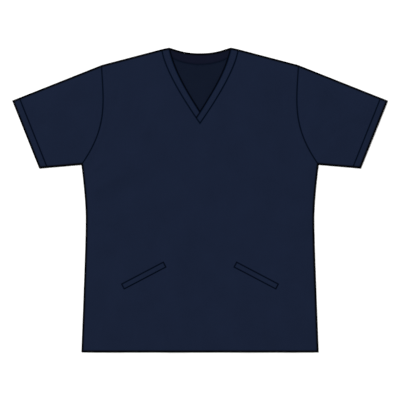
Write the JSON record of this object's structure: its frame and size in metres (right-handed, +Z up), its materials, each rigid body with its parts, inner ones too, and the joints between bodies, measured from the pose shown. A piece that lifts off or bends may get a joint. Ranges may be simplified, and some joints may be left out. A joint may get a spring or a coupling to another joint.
{
  "type": "scrub top",
  "caption": "Short-sleeved V-neck scrub top of navy cloth with slanted welt pockets, lying flat with its front up.",
  "frame": {"origin": "on the surface the top lies on, under the middle of its outline", "axes": "+X to the right as seen from above with the hem nearest, along the sleeve span; +Y from the hem to the neck; +Z up, the way the front faces"},
  "size_m": [0.9, 0.73, 0.0076],
  "materials": {
    "cloth": "matt plain-weave poly-cotton, navy",
    "cloth_inside": "the same cloth seen from its inside, navy"
  },
  "bodies": {
    "root": {"front_panel": "cloth", "back_panel": "cloth_inside", "sleeve_left": "cloth", "sleeve_right": "cloth", "neckband_front_left": "cloth", "neckband_front_right": "cloth", "neckband_back": "cloth_inside", "pocket_welt_left": "cloth", "pocket_welt_right": "cloth"}
  },
  "joints": []
}
